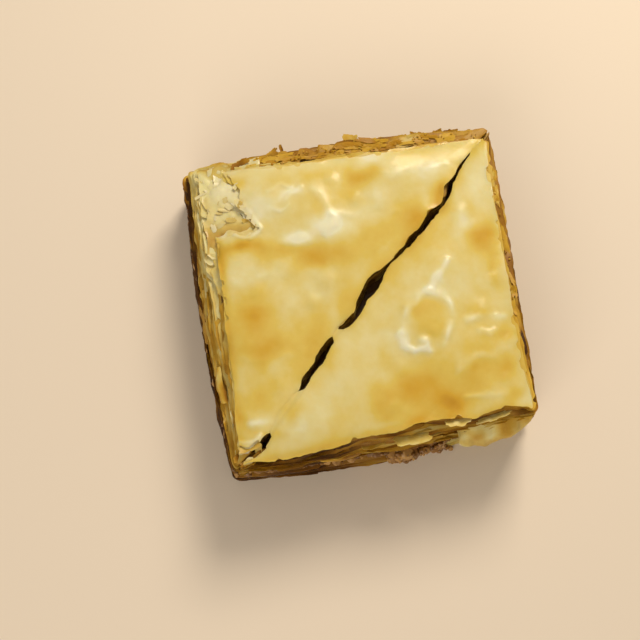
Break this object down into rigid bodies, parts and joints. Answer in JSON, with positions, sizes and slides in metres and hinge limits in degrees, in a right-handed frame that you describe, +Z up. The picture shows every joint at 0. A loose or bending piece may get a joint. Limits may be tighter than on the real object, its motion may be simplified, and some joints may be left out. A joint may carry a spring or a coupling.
{
  "type": "baklava piece",
  "caption": "Square piece of layered filo pastry with a chopped walnut layer, its crisp top stack split from corner to corner and one corner flaked away.",
  "frame": {"origin": "middle of the piece's outline seen from above, on the surface it lies on", "axes": "+Z up, +Y towards the back edge, +X towards the right edge"},
  "size_m": [0.0756, 0.0762, 0.0252],
  "materials": {
    "soaked_filo": null,
    "walnut": null,
    "crisp_filo": null
  },
  "bodies": {
    "root": {"filo_base": "soaked_filo", "nut_filling": "walnut", "filo_top_left": "crisp_filo", "filo_top_right": "crisp_filo"}
  },
  "joints": []
}
